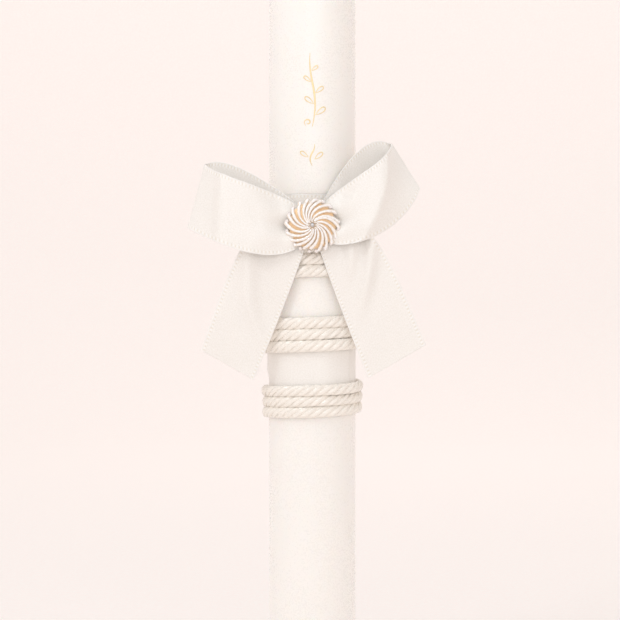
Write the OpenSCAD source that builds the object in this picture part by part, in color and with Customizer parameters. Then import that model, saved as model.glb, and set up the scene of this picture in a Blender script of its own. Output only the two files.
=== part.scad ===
// Unity candle: a dipped ivory pillar with two satin bands, three wound cords, a ribbon bow
// and a pearl rosette. Millimetres, +Z up, origin at the centre of the flat foot, and the
// bow faces -Y.

/* [Candle] */
// Diameter over the dipped wax
candle_d = 40; // [38:0.5:44]
// Height of the wax, without the wick
candle_h = 400; // [340:5:460]
// Thickness of the dipped overcoat
coat_t = 1.5; // [1:0.1:2.5]
// Rounding of the top rim
rim_r = 2; // [1:0.5:4]
// Chamfer of the foot
foot_chamfer = 1; // [0.5:0.1:2]
// Depth that the windings press into the wax
bed_depth = 0.3; // [0.2:0.05:0.5]
// Diameter of the braided wick
wick_d = 2.6; // [2:0.1:3.5]
// Straight length of wick above the wax
wick_free = 5; // [3:0.5:8]
// Radius of the wick's curled tip
wick_curl_r = 9; // [6:0.5:14]

/* [Ribbon] */
// Width of the satin ribbon
ribbon_w = 26.5; // [24:0.5:28]
// Thickness of the satin ribbon
ribbon_t = 0.4; // [0.3:0.05:0.5]
// Height of the lower band's lower edge
lower_band_z = 160.5; // [150:0.5:165]
// Height of the upper band's lower edge
upper_band_z = 225.4; // [220:0.2:230]
// Arc over which a band overlaps itself, in degrees
overlap_deg = 34; // [20:1:50]
// Thickness of the tape inside the overlap
tape_t = 0.15; // [0.1:0.05:0.2]

/* [Cord] */
// Height of the cord's pressed section
cord_w = 4.6; // [4:0.1:4.8]
// Radial thickness of the cord's pressed section
cord_t = 3.3; // [2.8:0.1:3.8]
// Height of the lower winding's middle turn at the front
lower_cord_z = 159.15; // [155:0.05:162]
// Pitch of the lower winding
lower_cord_pitch = 4.85; // [4.85:0.05:5.6]
// Height of the middle winding's middle turn at the front
middle_cord_z = 189.1; // [187:0.1:191]
// Pitch of the middle winding
middle_cord_pitch = 5.2; // [4.85:0.05:5.6]
// Height of the upper winding's middle turn at the front
upper_cord_z = 222.9; // [221:0.1:224]
// Pitch of the upper winding
upper_cord_pitch = 5.4; // [4.85:0.05:5.6]
// Diameter of the glue dabs that hold the cord ends
dab_d = 4.6; // [3.5:0.1:5]

/* [Bow] */
// Height of the bow's waist
waist_z = 237.4; // [236:0.1:239]
// Height of the ribbon where it is tied at the waist
waist_h = 10.5; // [9:0.5:12]
// Depth of the gathers beside the waist
gather_depth = 1.2; // [0:0.1:1.6]
// Diameter of the tying thread
thread_d = 0.6; // [0.4:0.1:0.8]

/* [Rosette] */
// Diameter of the rosette's backing disc
rosette_d = 20.6; // [19:0.2:23]
// Height of the backing disc's dome
dome_h = 2.4; // [1.5:0.1:3]
// Number of curved bead strands
strand_count = 20; // [16:1:22]
// Sweep of each strand from centre to rim, in degrees
strand_sweep = 62; // [30:1:70]
// Diameter of the rim pearls
rim_pearl_d = 2; // [1.5:0.1:2.3]
// Diameter of the centre bead
centre_bead_d = 1.9; // [1.5:0.1:2.5]

/* [Gold sprig] */
// Thickness of the gold foil
foil_t = 0.12; // [0.08:0.01:0.2]
// Width of the broadest foil stroke
foil_w = 0.85; // [0.5:0.05:1.2]
// Height of the tall sprig's lower end
tall_sprig_z = 282; // [280:1:290]
// Height of the small sprig's lower end
small_sprig_z = 264.5; // [262:0.5:268]

/* [Hidden] */
$fn = 96;

ivory = [0.97, 0.94, 0.90];
satin = [0.98, 0.95, 0.89];
cord_colour = [0.96, 0.92, 0.85];
gold = [0.86, 0.70, 0.38];
pearl = [0.95, 0.90, 0.86];
clear_glue = [0.93, 0.90, 0.84];

candle_r = candle_d / 2;
bed_r = candle_r - bed_depth;
core_r = candle_r - coat_t;
wick_r = wick_d / 2;
wick_start = 6;
wick_curl_deg = 42;
bed_margin = 0.3;
glue_r = 4.5;
rosette_glue_t = 1.6;
eps = 0.01;

// Layers over the wax: radii, and depths in front of the candle's axis
band_r = bed_r + ribbon_t;
pad_face = band_r + 1.2;
thread_back = pad_face + thread_d / 2;
tails_depth = thread_back + thread_d / 2 + ribbon_t / 2;
loops_back = tails_depth + 0.7;
loops_front = loops_back + 0.8;
thread_front = loops_front + ribbon_t / 2 + thread_d / 2;
thread_face = thread_front + thread_d / 2;
disc_back = thread_face + rosette_glue_t;
disc_edge = 0.8;
disc_front = disc_back + disc_edge;
disc_r = rosette_d / 2;

// Overlaps: the lower band's end shows at the front right, the upper band's is at the back
lower_seam_deg = 292;
upper_seam_deg = 90 - overlap_deg / 2;
seam_step_deg = 1;

// Windings: each cord begins and ends at the back, beside +Y, and rises turn by turn
lower_cord = [lower_cord_z, lower_cord_pitch];
middle_cord = [middle_cord_z, middle_cord_pitch];
upper_cord = [upper_cord_z, upper_cord_pitch];
cord_start_deg = 104;
cord_sweep_deg = 1051;
cord_steps = 118;
cord_sides = 8;
front_deg = 270;

// The bow's edges as cubic curves of [x, height above the waist], chosen by hand
half_waist = waist_h / 2;
left_upper = [[[-1.5, half_waist], [-12, 16], [-43, 20.5], [-48.3, 28.4]],
              [[-1.5, half_waist], [-10, 13], [-40, 36], [-48.3, 28.4]]];
left_lower = [[[-1.5, -half_waist], [-13, -20.4], [-38, -11], [-56, -0.6]],
              [[-1.5, -half_waist], [-16, -8.4], [-40, -1.4], [-56, -0.6]]];
right_upper = [[[1.5, half_waist], [9, 19], [33, 25], [35.8, 38]],
               [[1.5, half_waist], [8, 17], [23, 47], [35.8, 38]]];
right_lower = [[[1.5, -half_waist], [14, -14.4], [41, -3.4], [48.6, 17.3]],
               [[1.5, -half_waist], [12, -1.4], [36, 10.6], [48.6, 17.3]]];
// Depth of each loop's fold in front of the wax, and how far the loop opens each way
left_upper_open = [-3, 7];
left_lower_open = [-2, 8];
right_upper_open = [-7, 7];
right_lower_open = [-5, 8];
// Each tail edge: [x, height above the waist, depth in front of the wax]
tie_depth = tails_depth - candle_r;
left_outer = [[-1, half_waist - 1, tie_depth], [-30, 6.6, 5], [-33, -9.4, 4.5], [-49.7, -55.4, 1]];
left_inner = [[-1, 1 - half_waist, tie_depth], [-3, -8.4, 6.2], [-8, -25.4, 1], [-26.3, -68.8, -2]];
right_outer = [[1, half_waist - 1, tie_depth], [26, 8.6, 5], [33, -11.4, 4.5], [50.7, -53, 1]];
right_inner = [[1, 1 - half_waist, tie_depth], [2.5, -8.6, 6.2], [8, -25.4, 1], [25, -68, -2]];
loop_steps = 30;
tail_steps = 16;
cross_steps = 8;

// Point at t from 0 to 1 on a cubic curve with end points p[0], p[3] and handles p[1], p[2]
function cubic(p, t) = let (s = 1 - t)
    p[0] * pow(s, 3) + 3 * p[1] * t * s * s + 3 * p[2] * t * t * s + p[3] * pow(t, 3);
// Smooth step from 0 to 1 as t goes from 0 to 1
function ease(t) = let (c = min(max(t, 0), 1)) c * c * (3 - 2 * c);
function unit(v) = v / norm(v);

// Height of a winding's first end: its middle turn crosses the front at height cord[0]
function cord_start_z(cord) = cord[0] - cord[1] * (360 + front_deg - cord_start_deg) / 360;
function cord_end_z(cord) = cord_start_z(cord) + cord[1] * cord_sweep_deg / 360;
// 1 where height z lies on a band that starts at z0, easing to 0 beside it
function on_band(z, z0) = ease((z - z0) / 2 + 0.5) * ease((z0 + ribbon_w - z) / 2 + 0.5);
// 1 where the angle lies on an overlap that starts at deg0, easing to 0 within 8 degrees
function on_overlap(deg, deg0) = let (a = abs((deg - deg0 - overlap_deg / 2) % 360),
                                      b = min(a, 360 - a))
    ease((overlap_deg / 2 + 8 - b) / 8);
// Radius of the surface that a cord lies on at a height and an angle
function seat_r(z, deg) = bed_r
    + on_band(z, lower_band_z)
        * (ribbon_t + (ribbon_t + tape_t) * on_overlap(deg, lower_seam_deg))
    + on_band(z, upper_band_z)
        * (ribbon_t + (ribbon_t + tape_t) * on_overlap(deg, upper_seam_deg));

lower_bed = [cord_start_z(lower_cord) - cord_w / 2 - bed_margin,
             cord_end_z(middle_cord) + cord_w / 2 + bed_margin];
upper_bed = [cord_start_z(upper_cord) - cord_w / 2 - bed_margin,
             upper_band_z + ribbon_w + bed_margin];

// Closed skin over rings of equal size, each turning right-handed about the path, with the
// first ring closed by the triangles in cap and the last ring by the same ones reversed
module skin(rings, cap) {
    n = len(rings[0]);
    m = len(rings);
    sides = [for (i = [0 : m - 2], j = [0 : n - 1])
        let (a = i * n + j, b = i * n + (j + 1) % n)
        each [[a, a + n, b], [b, a + n, b + n]]];
    base = (m - 1) * n;
    end = [for (c = cap) [base + c[2], base + c[1], base + c[0]]];
    polyhedron([for (r = rings) each r], concat(sides, cap, end));
}

// Round cap for a ring of n points
function fan(n) = [for (j = [1 : n - 2]) [0, j, j + 1]];

// Sheet of thickness t about a grid of middle points: rows along it, columns across it
module sheet(grid, t) {
    last_row = len(grid) - 1;
    m = len(grid[0]) - 1;
    function normal(i, j) = unit(cross(
        grid[i][min(j + 1, m)] - grid[i][max(j - 1, 0)],
        grid[min(i + 1, last_row)][j] - grid[max(i - 1, 0)][j]));
    rings = [for (i = [0 : last_row]) concat(
        [for (j = [0 : m]) grid[i][j] + normal(i, j) * t / 2],
        [for (j = [m : -1 : 0]) grid[i][j] - normal(i, j) * t / 2])];
    cap = [for (j = [0 : m - 1]) each [[j, j + 1, 2 * m - j], [j, 2 * m - j, 2 * m + 1 - j]]];
    skin(rings, cap);
}

// Cast wax body with a blind hole for the wick
module wax_core() {
    color(ivory) difference() {
        cylinder(r = core_r, h = candle_h - coat_t);
        translate([0, 0, wick_start]) cylinder(r = wick_r, h = candle_h);
    }
}

// Dipped overcoat with a rounded rim, a chamfered foot and beds pressed in by the windings
module wax_coat() {
    rim = [for (a = [0 : 15 : 90])
        [candle_r - rim_r + rim_r * cos(a), candle_h - rim_r + rim_r * sin(a)]];
    outline = concat(
        [[core_r, 0], [candle_r - foot_chamfer / 2, 0], [candle_r, foot_chamfer]],
        [for (bed = [lower_bed, upper_bed]) each
            [[candle_r, bed[0]], [bed_r, bed[0]], [bed_r, bed[1]], [candle_r, bed[1]]]],
        rim,
        [[wick_r, candle_h], [wick_r, candle_h - coat_t], [core_r, candle_h - coat_t]]);
    color(ivory) rotate_extrude() polygon(outline);
}

// Braided wick: straight through the wax, with a curled tip above it
module wick() {
    sides = 12;
    bend = candle_h + wick_free;
    // Middle of the wick and its heading from vertical, at the foot and then round the curl
    stations = concat([[0, wick_start, 0]], [for (a = [0 : wick_curl_deg / 7 : wick_curl_deg])
        [wick_curl_r * (1 - cos(a)), bend + wick_curl_r * sin(a), a]]);
    rings = [for (s = stations) [for (j = [0 : sides - 1])
        let (b = 360 * j / sides, across = wick_r * cos(b))
        [s[0] + across * cos(s[2]), wick_r * sin(b), s[1] - across * sin(s[2])]]];
    color(ivory) skin(rings, fan(sides));
}

// Foil stroke along points of [x, z] wrapped round the wax, with a swelling width
module foil_stroke(path, width) {
    n = len(path) - 1;
    r = candle_r + foil_t / 2;
    function on_wax(p) = let (a = p[0] / r * 180 / PI) [r * sin(a), -r * cos(a), p[1]];
    grid = [for (i = [0 : n])
        let (t = unit(path[min(i + 1, n)] - path[max(i - 1, 0)]),
             w = width * (0.25 + 0.75 * sin(180 * i / n)) / 2,
             side = [-t[1], t[0]] * w)
        [on_wax(path[i] - side), on_wax(path[i] + side)]];
    sheet(grid, foil_t);
}

// Leaf outline of a given length at a place and heading: a narrow closed loop
function leaf(at, heading, size) = [for (t = [0 : 18 : 360])
    let (u = (1 - cos(t)) / 2 * size, v = sin(t) * sin(t / 2) * size * 0.24)
    at + [u * cos(heading) - v * sin(heading), u * sin(heading) + v * cos(heading)]];
// Curl that winds inward from a place, starting along a heading
function curl(at, heading, size, turn) = [for (t = [0 : 20 : 400])
    let (r = size * (1 - t / 560), c = [-sin(heading), cos(heading)] * turn)
    at + c * size + r * (-c * cos(t) + [cos(heading), sin(heading)] * sin(t))];
// Middle line of a sprig's stem
function stem(z0, h, sway, t) = [sway * sin(300 * t), z0 + h * t];

// Gold foil sprigs on the front of the wax: a tall one, and a small one under it
module gold_sprigs() {
    tall_h = 33;
    small_h = 10;
    color(gold) {
        foil_stroke([for (t = [0 : 0.04 : 1]) stem(tall_sprig_z, tall_h, 1.2, t)], foil_w);
        for (k = [0 : 4]) {
            side = k % 2 == 0 ? 1 : -1;
            at = stem(tall_sprig_z, tall_h, 1.2, 0.16 + 0.15 * k) + [side * foil_w * 0.7, 0];
            foil_stroke(leaf(at, 90 - side * 52, 5.4 - 0.5 * k), foil_w * 0.6);
        }
        foil_stroke(curl([-2.9, tall_sprig_z + 0.5], 150, 1.7, -1), foil_w * 0.7);
        foil_stroke([for (t = [0 : 0.1 : 1]) stem(small_sprig_z, small_h, -1, t)], foil_w * 0.8);
        foil_stroke(leaf([1, small_sprig_z + 3], 40, 4.6), foil_w * 0.6);
        foil_stroke(leaf([-1.9, small_sprig_z + 4], 145, 4.2), foil_w * 0.6);
    }
}

// Satin band: one turn in its bed, with an overlapping end stood off by the tape
module ribbon_band(z0, seam_deg) {
    outer = band_r + tape_t;
    color(satin) union() {
        rotate_extrude() translate([bed_r, z0]) square([ribbon_t, ribbon_w]);
        rotate([0, 0, seam_deg]) rotate_extrude(angle = overlap_deg)
            translate([outer, z0]) square([ribbon_t, ribbon_w]);
        rotate([0, 0, seam_deg]) rotate_extrude(angle = seam_step_deg)
            translate([band_r - eps, z0]) square([tape_t + 2 * eps, ribbon_w]);
    }
}

// Double-sided tape between the two layers of a band's overlap
module band_tape(z0, seam_deg) {
    margin = 1.5;
    color("white") rotate([0, 0, seam_deg + 2 * seam_step_deg])
        rotate_extrude(angle = overlap_deg - 4 * seam_step_deg)
        translate([band_r, z0 + margin]) square([tape_t, ribbon_w - 2 * margin]);
}

module lower_ribbon_band() { ribbon_band(lower_band_z, lower_seam_deg); }
module upper_ribbon_band() { ribbon_band(upper_band_z, upper_seam_deg); }
module lower_band_tape() { band_tape(lower_band_z, lower_seam_deg); }
module upper_band_tape() { band_tape(upper_band_z, upper_seam_deg); }

// Twisted cord wound round the candle: a pressed oval section carried up a helix
module cord_wrap(cord) {
    z0 = cord_start_z(cord);
    rings = [for (i = [0 : cord_steps])
        let (deg = cord_start_deg + cord_sweep_deg * i / cord_steps,
             z = z0 + cord[1] * cord_sweep_deg / 360 * i / cord_steps,
             r = seat_r(z, deg) + cord_t / 2 + 0.05)
        [for (j = [0 : cord_sides - 1])
            let (a = 360 * j / cord_sides, rr = r + cord_t / 2 * cos(a))
            [rr * cos(deg), rr * sin(deg), z - cord_w / 2 * sin(a)]]];
    color(cord_colour) skin(rings, fan(cord_sides));
}

module lower_cord_wrap() { cord_wrap(lower_cord); }
module middle_cord_wrap() { cord_wrap(middle_cord); }
module upper_cord_wrap() { cord_wrap(upper_cord); }

// Glue dab against a cord's end, on the side away from the cord
module end_dab(z, deg, away) {
    r = seat_r(z, deg);
    color(clear_glue) difference() {
        rotate([0, 0, deg]) intersection() {
            translate([r + cord_t / 2, 0, z]) sphere(d = dab_d);
            translate([r - dab_d, away > 0 ? 0 : -dab_d, z - dab_d])
                cube([3 * dab_d, dab_d, 2 * dab_d]);
        }
        translate([0, 0, z - 2 * dab_d]) cylinder(r = r, h = 4 * dab_d);
    }
}

module cord_end_glue() {
    for (cord = [lower_cord, middle_cord, upper_cord]) {
        end_dab(cord_start_z(cord), cord_start_deg, -1);
        end_dab(cord_end_z(cord), cord_start_deg + cord_sweep_deg, 1);
    }
}

// Glue pad between the upper band and the back of the bow
module bow_glue_pad() {
    color(clear_glue) difference() {
        translate([0, 0, waist_z]) rotate([90, 0, 0]) cylinder(r = glue_r, h = pad_face);
        translate([0, 0, waist_z - 2 * glue_r]) cylinder(r = band_r, h = 4 * glue_r);
    }
}

// Gathers beside the waist: waves across the ribbon that fade out along it
function gathers(s, v) = gather_depth * sin(540 * v)
    * ease((s - 0.1) / 0.18) * (1 - ease((s - 0.28) / 0.4));
// Point on a loop's edge, u from 0 at the waist's front, over the fold, to 1 at its back
function loop_edge(edge, open, u) =
    let (s = pow(sin(180 * u), 2),
         p = cubic(u <= 0.5 ? edge[0] : edge[1], s),
         tied = u <= 0.5 ? loops_front : loops_back,
         d = tied + s * s * (candle_r + open[0] - tied + 1.93 * open[1] * sin(360 * u)))
    [p[0], -d, waist_z + p[1]];
function loop_row(lower, lower_open, upper, upper_open, u) =
    let (a = loop_edge(lower, lower_open, u), b = loop_edge(upper, upper_open, u))
    [for (j = [0 : cross_steps]) let (v = j / cross_steps)
        a + (b - a) * v - [0, gathers(pow(sin(180 * u), 2), v), 0]];

// Both loops of the bow, one ribbon from the waist round the left and the right fold
module bow_loops() {
    rows = concat(
        [for (i = [0 : loop_steps])
            loop_row(left_lower, left_lower_open, left_upper, left_upper_open,
                     i / loop_steps)],
        [for (i = [loop_steps : -1 : 0])
            loop_row(right_lower, right_lower_open, right_upper, right_upper_open,
                     i / loop_steps)]);
    color(satin) sheet(rows, ribbon_t);
}

function tail_row(inner, outer, t) =
    let (a = cubic(inner, t), b = cubic(outer, t))
    [for (j = [0 : cross_steps]) let (v = j / cross_steps, p = a + (b - a) * v)
        [p[0], -candle_r - p[2] - gathers(t, v), waist_z + p[1]]];

// Both tails, one ribbon folded over at the waist
module bow_tails() {
    rows = concat(
        [for (i = [tail_steps : -1 : 0]) tail_row(left_inner, left_outer, i / tail_steps)],
        [for (i = [0 : tail_steps]) tail_row(right_inner, right_outer, i / tail_steps)]);
    color(satin) sheet(rows, ribbon_t);
}

// Turns of thread tied round the waist of the bow
module bow_tie_thread() {
    reach = (thread_front - thread_back) / 2;
    middle = (thread_front + thread_back) / 2;
    h = waist_h + 2 * ribbon_t;
    color("white") for (x = [-1.2 * thread_d : 1.2 * thread_d : 1.2 * thread_d])
        translate([x, -middle, waist_z]) for (side = [-1, 1]) {
            translate([0, side * reach, -h / 2]) cylinder(d = thread_d, h = h);
            translate([0, 0, side * h / 2]) rotate([90, 0, 90])
                rotate([0, 0, side > 0 ? 0 : 180]) rotate_extrude(angle = 180)
                translate([reach, 0]) circle(d = thread_d);
        }
}

// Places geometry made about +Z on the front of the bow's waist, with +Z towards the viewer
module at_rosette(depth) {
    translate([0, -depth, waist_z]) rotate([90, 0, 0]) children();
}

module rosette_glue() {
    color(clear_glue) at_rosette(thread_face) cylinder(r = glue_r, h = disc_back - thread_face);
}

// Height of the domed disc above its flat rim, at radius r
function dome(r) = dome_h * (1 - pow(r / disc_r, 2));

module rosette_disc() {
    steps = 12;
    outline = concat([[0, 0], [disc_r, 0]],
        [for (i = [steps : -1 : 0]) let (r = disc_r * i / steps) [r, disc_edge + dome(r)]]);
    color(pearl) at_rosette(disc_back) rotate_extrude() polygon(outline);
}

// Curved strands that sweep clockwise from the centre to the rim of the disc
module rosette_strands() {
    steps = 9;
    sides = 6;
    first_r = 2.2;
    function strand_r(t) = 0.3 + 0.5 * t;
    function place(a0, t) = let (r = first_r + (disc_r - 0.3 - first_r) * t,
                                 a = a0 - strand_sweep * t)
        [r * cos(a), r * sin(a), dome(r) + strand_r(t) + 0.05];
    color(pearl) at_rosette(disc_front) for (k = [0 : strand_count - 1]) {
        a0 = 360 * k / strand_count;
        rings = [for (i = [0 : steps])
            let (t = i / steps,
                 along = unit(place(a0, min(t + 0.05, 1)) - place(a0, max(t - 0.05, 0))),
                 side = unit(cross(along, [0, 0, 1])),
                 up = cross(side, along))
            [for (j = [0 : sides - 1]) let (b = 360 * j / sides)
                place(a0, t) + strand_r(t) * (up * cos(b) + side * sin(b))]];
        skin(rings, fan(sides));
    }
}

module rosette_rim_pearls() {
    r = disc_r + rim_pearl_d / 2 + 0.05;
    color(pearl) at_rosette(disc_back + disc_edge / 2) for (k = [0 : strand_count - 1])
        rotate([0, 0, 360 * k / strand_count - strand_sweep])
        translate([r, 0, 0]) sphere(d = rim_pearl_d, $fn = 32);
}

module rosette_centre_bead() {
    color("silver") at_rosette(disc_front + dome_h + centre_bead_d / 2)
        sphere(d = centre_bead_d, $fn = 32);
}

wax_core();
wax_coat();
wick();
gold_sprigs();
lower_ribbon_band();
upper_ribbon_band();
lower_band_tape();
upper_band_tape();
lower_cord_wrap();
middle_cord_wrap();
upper_cord_wrap();
cord_end_glue();
bow_glue_pad();
bow_tails();
bow_loops();
bow_tie_thread();
rosette_glue();
rosette_disc();
rosette_strands();
rosette_rim_pearls();
rosette_centre_bead();
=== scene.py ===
"""Unity candle: a dipped ivory pillar with satin bands, wound cords, a ribbon bow and a
pearl rosette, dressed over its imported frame. Shapes are worked out in millimetres."""
import math

import bpy
import numpy as np
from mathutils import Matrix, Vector


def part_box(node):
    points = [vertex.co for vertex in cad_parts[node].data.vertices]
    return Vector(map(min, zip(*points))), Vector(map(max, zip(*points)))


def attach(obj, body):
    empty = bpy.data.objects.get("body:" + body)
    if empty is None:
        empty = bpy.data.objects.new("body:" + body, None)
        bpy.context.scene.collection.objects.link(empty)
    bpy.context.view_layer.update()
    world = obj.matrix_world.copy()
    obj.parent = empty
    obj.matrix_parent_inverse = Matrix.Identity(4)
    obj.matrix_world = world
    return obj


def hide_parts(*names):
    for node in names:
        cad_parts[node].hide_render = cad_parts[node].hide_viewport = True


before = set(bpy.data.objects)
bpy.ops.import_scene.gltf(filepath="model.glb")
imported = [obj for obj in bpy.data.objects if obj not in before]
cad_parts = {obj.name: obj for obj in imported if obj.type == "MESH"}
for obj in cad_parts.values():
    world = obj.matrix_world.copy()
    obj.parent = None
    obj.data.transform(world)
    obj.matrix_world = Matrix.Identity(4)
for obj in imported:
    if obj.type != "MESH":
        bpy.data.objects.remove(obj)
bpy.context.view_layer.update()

MM = 0.001
TAU = 2 * math.pi

# ---------------------------------------------------------------- sizes read from the frame


def box_mm(node):
    """Lowest and highest corner of a frame node, in millimetres."""
    low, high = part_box(node)
    return np.array(low) / MM, np.array(high) / MM


coat_low, coat_high = box_mm("wax_coat")
candle_r = (coat_high[0] - coat_low[0]) / 2
candle_h = coat_high[2]
core_r = box_mm("wax_core")[1][0]
lower_band_low, lower_band_high = box_mm("lower_ribbon_band")
upper_band_low, upper_band_high = box_mm("upper_ribbon_band")
ribbon_w = lower_band_high[2] - lower_band_low[2]
disc_low, disc_high = box_mm("rosette_disc")
disc_r = (disc_high[0] - disc_low[0]) / 2
waist_z = (disc_high[2] + disc_low[2]) / 2
bead_low, bead_high = box_mm("rosette_centre_bead")
tie_high = box_mm("bow_tie_thread")[1]

# Layers of the bow in front of the candle's axis, and sizes shared with the frame
ribbon_t = 0.4
cord_w = 4.6
cord_t = 3.3
cord_start = math.radians(104)
cord_sweep = math.radians(1051)
bed_depth = 0.3
bed_r = candle_r - bed_depth
band_r = bed_r + ribbon_t
tape_t = 0.15
overlap = math.radians(34)
lower_seam = math.radians(292)
upper_seam = math.radians(73)
thread_t = 0.6
tails_depth = -tie_high[1] + thread_t + ribbon_t / 2
loops_back = tails_depth + 0.7
loops_front = loops_back + 0.8

# Stitches along the ribbon's edges
stitch_pitch = 1.7
stitch_inset = 1.15
stitch_half = 0.5

# ---------------------------------------------------------------- curves and small formulas


def cubic(p, t):
    """Points at t on a cubic curve with end points p[0], p[3] and handles p[1], p[2]."""
    p, t = np.asarray(p, float), np.asarray(t, float)[..., None]
    s = 1 - t
    return p[0] * s**3 + 3 * p[1] * t * s**2 + 3 * p[2] * t**2 * s + p[3] * t**3


def ease(t):
    """Smooth step: 0 below 0, 1 above 1, and 3t^2 - 2t^3 between."""
    t = np.clip(t, 0, 1)
    return t * t * (3 - 2 * t)


def bell(t):
    """Bell curve of height 1 and width 1: e to the minus t squared."""
    return np.exp(-t * t)


def unit(v):
    """Vectors scaled to length 1."""
    return v / np.maximum(np.linalg.norm(v, axis=-1, keepdims=True), 1e-9)


def ripple(a, b, seed, size):
    """Gentle uneven surface: five sine waves of random direction and phase over a and b,
    with wavelengths of one to three times size."""
    rng = np.random.default_rng(seed)
    total = 0
    for _ in range(5):
        way, phase = rng.uniform(0, TAU, 2)
        k = TAU / (size * rng.uniform(1, 3))
        total = total + np.sin(k * (a * math.cos(way) + b * math.sin(way)) + phase)
    return total / 5


# ---------------------------------------------------------------- meshes from grids of points


class Shell:
    """Grids of points gathered into one mesh. A grid's rows run along the piece and its
    columns run right-handed round it, so that its faces point outwards."""

    def __init__(self):
        self.points, self.corners, self.sizes, self.uvs, self.count = [], [], [], [], 0

    def _faces(self, corners, uvs):
        self.corners.append(corners.ravel() + self.count)
        self.sizes.append(np.full(len(corners), corners.shape[1]))
        self.uvs.append(uvs.reshape(-1, 2))

    def add(self, grid, u=None, v=None, loop=False, caps=None, round_trip=False):
        """Adds a grid of rows by columns. u and v are the surface's own coordinates across
        and along it. loop joins the last row to the first. caps closes the end rows with a
        fan, or with a strip between the two faces of a flat section. round_trip says that
        the columns form a ring."""
        rows, cols = grid.shape[:2]
        u = np.linspace(0, 1, cols + 1) if u is None else np.asarray(u, float)
        v = np.linspace(0, 1, rows + 1) if v is None else np.asarray(v, float)
        u2 = np.broadcast_to(u[None, :], (len(v), len(u)))
        v2 = np.broadcast_to(v[:, None], (len(v), len(u)))
        i = np.arange(rows if loop else rows - 1)[:, None]
        j = np.arange(cols if round_trip else cols - 1)[None, :]
        i, j = np.broadcast_arrays(i, j)
        i, j = i.ravel(), j.ravel()
        a, b = (i + 1) % rows, (j + 1) % cols
        quads = np.stack([i * cols + j, i * cols + b, a * cols + b, a * cols + j], -1)
        uv = np.stack([np.stack([w[i, j], w[i, j + 1], w[i + 1, j + 1], w[i + 1, j]], -1)
                       for w in (u2, v2)], -1)
        self._faces(quads, uv)
        if caps:
            if caps == "fan":
                k = np.arange(1, cols - 1)
                cap = np.stack([0 * k, k + 1, k], -1)
            else:
                m = cols // 2 - 1
                k = np.arange(m)
                cap = np.stack([k, 2 * m + 1 - k, 2 * m - k, k + 1], -1)
            last = (rows - 1) * cols + cap[:, ::-1]
            for faces, row in ((cap, 0), (last, rows - 1)):
                at = faces % cols
                self._faces(faces, np.stack([u2[row, at], v2[row, at]], -1))
        self.points.append(grid.reshape(-1, 3))
        self.count += rows * cols

    def piece(self, name, material, slot, node=None):
        """The finished object, riding on the candle's body in place of its frame node."""
        mesh = bpy.data.meshes.new(name)
        points = np.concatenate(self.points) * MM
        corners = np.concatenate(self.corners)
        sizes = np.concatenate(self.sizes)
        mesh.vertices.add(len(points))
        mesh.vertices.foreach_set("co", points.ravel())
        mesh.loops.add(len(corners))
        mesh.loops.foreach_set("vertex_index", corners)
        mesh.polygons.add(len(sizes))
        mesh.polygons.foreach_set("loop_start", np.cumsum(sizes) - sizes)
        mesh.polygons.foreach_set("loop_total", sizes)
        mesh.update(calc_edges=True)
        layer = mesh.uv_layers.new(name="surface")
        layer.data.foreach_set("uv", np.concatenate(self.uvs).ravel())
        mesh.validate()
        mesh.shade_smooth()
        mesh.materials.append(material)
        obj = bpy.data.objects.new(name, mesh)
        bpy.context.scene.collection.objects.link(obj)
        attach(obj, "root")
        if node:
            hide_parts(node)
        return obj


def tube(path, across, up, sides, radius):
    """Rings of points about a path. Each ring turns right-handed about the path from up to
    across, where up x across points along it, and radius may vary by row or by point."""
    a = np.linspace(0, TAU, sides, endpoint=False)
    radius = np.broadcast_to(np.asarray(radius, float), (len(path), sides))[..., None]
    c, s = np.cos(a)[None, :, None], np.sin(a)[None, :, None]
    return path[:, None, :] + (up[:, None, :] * c + across[:, None, :] * s) * radius


def even_rows(centre, spacing):
    """Positions, in samples, that cut a finely sampled line into equal steps of about
    spacing, and the length along the line at each."""
    steps = np.linalg.norm(np.diff(centre, axis=0), axis=1)
    along = np.concatenate([[0], np.cumsum(steps)])
    marks = np.linspace(0, along[-1], max(int(along[-1] / spacing), 2))
    return np.interp(marks, along, np.arange(len(along))), marks


# ---------------------------------------------------------------- shader maths


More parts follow.
